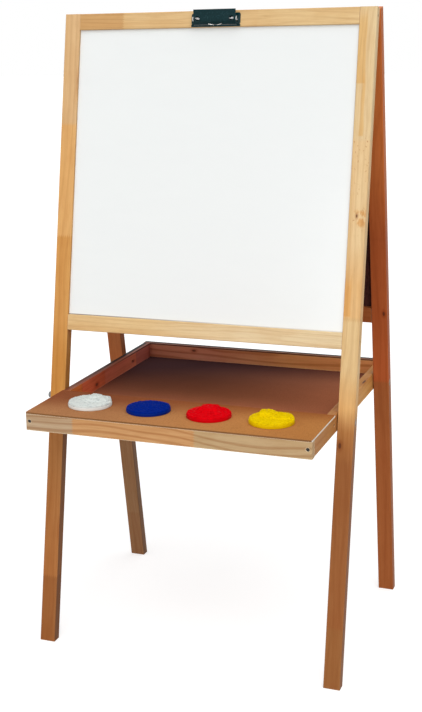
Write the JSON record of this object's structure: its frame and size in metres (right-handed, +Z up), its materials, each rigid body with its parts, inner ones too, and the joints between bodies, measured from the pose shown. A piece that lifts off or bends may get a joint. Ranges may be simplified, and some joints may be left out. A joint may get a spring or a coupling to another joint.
{
  "type": "kids easel",
  "caption": "Folding wooden kids easel with a whiteboard, a chalkboard behind, a paper clip and a paint tray with lift-out paint pots.",
  "frame": {"origin": "on the floor, below the middle of the tray", "axes": "+Z up, -Y towards the child at the whiteboard, +X to the right"},
  "size_m": [0.6065, 0.572, 1.195],
  "materials": {
    "pine": "clear satin lacquer",
    "hardboard": "smooth lacquered hardboard",
    "white_laminate": "gloss dry-wipe",
    "slate_coat": "matt chalk paint",
    "black_enamel": "gloss enamel",
    "steel": "plated",
    "dark_steel": "black phosphate",
    "zinc": "zinc plated",
    "nylon": "natural",
    "white_plastic": "moulded",
    "white_paint": "thick dried paint",
    "blue_plastic": "moulded",
    "blue_paint": "thick dried paint",
    "red_plastic": "moulded",
    "red_paint": "thick dried paint",
    "yellow_plastic": "moulded",
    "yellow_paint": "thick dried paint"
  },
  "bodies": {
    "front_frame": {"front_leg_left": "pine", "front_leg_right": "pine", "front_top_rail": "pine", "front_bottom_rail": "pine", "whiteboard": "white_laminate", "front_frame_screws": "dark_steel", "front_hinge_leaf_left": "zinc", "front_hinge_leaf_right": "zinc", "front_hinge_screws": "zinc", "hinge_pin_left": "steel", "hinge_pin_right": "steel", "pivot_bolt_left": "steel", "pivot_bolt_right": "steel", "pivot_nut_left": "steel", "pivot_nut_right": "steel", "pivot_washers": "nylon", "clip_base": "black_enamel", "clip_rivets": "steel", "clip_pin": "steel", "clip_spring": "steel"},
    "rear_frame": {"rear_leg_left": "pine", "rear_leg_right": "pine", "rear_top_rail": "pine", "rear_bottom_rail": "pine", "chalkboard": "slate_coat", "rear_frame_screws": "dark_steel", "rear_hinge_leaf_left": "zinc", "rear_hinge_leaf_right": "zinc", "rear_hinge_screws": "zinc", "rear_tray_bolts": "steel"},
    "tray": {"tray_apron": "pine", "tray_back_rail": "pine", "tray_side_left": "pine", "tray_side_right": "pine", "shelf_batten": "pine", "tray_floor": "hardboard", "paint_shelf": "hardboard", "tray_screws": "dark_steel"},
    "clip_lever": {"clip_lever": "black_enamel"},
    "white_pot": {"pot_white": "white_plastic", "paint_white": "white_paint"},
    "blue_pot": {"pot_blue": "blue_plastic", "paint_blue": "blue_paint"},
    "red_pot": {"pot_red": "red_plastic", "paint_red": "red_paint"},
    "yellow_pot": {"pot_yellow": "yellow_plastic", "paint_yellow": "yellow_paint"}
  },
  "joints": [
    {"name": "rear_fold", "type": "hinge", "parent": "front_frame", "child": "rear_frame", "pos_m": [0, 0.02898, 1.18587], "axis": [1, 0, 0], "range_deg": [-20, 0]},
    {"name": "tray_tilt", "type": "hinge", "parent": "front_frame", "child": "tray", "pos_m": [0, -0.113, 0.473], "axis": [1, 0, 0], "range_deg": [-80, 0]},
    {"name": "clip_press", "type": "hinge", "parent": "front_frame", "child": "clip_lever", "pos_m": [0, -0.00194, 1.17721], "axis": [-1, 0, 0], "range_deg": [0, 25], "stiffness_Nm_per_rad": 0.2, "springref_deg": -22.92},
    {"name": "white_pot_lift", "type": "slide", "parent": "tray", "child": "white_pot", "axis": [0, 0, 1], "range_m": [0, 0.06]},
    {"name": "blue_pot_lift", "type": "slide", "parent": "tray", "child": "blue_pot", "axis": [0, 0, 1], "range_m": [0, 0.06]},
    {"name": "red_pot_lift", "type": "slide", "parent": "tray", "child": "red_pot", "axis": [0, 0, 1], "range_m": [0, 0.06]},
    {"name": "yellow_pot_lift", "type": "slide", "parent": "tray", "child": "yellow_pot", "axis": [0, 0, 1], "range_m": [0, 0.06]}
  ]
}
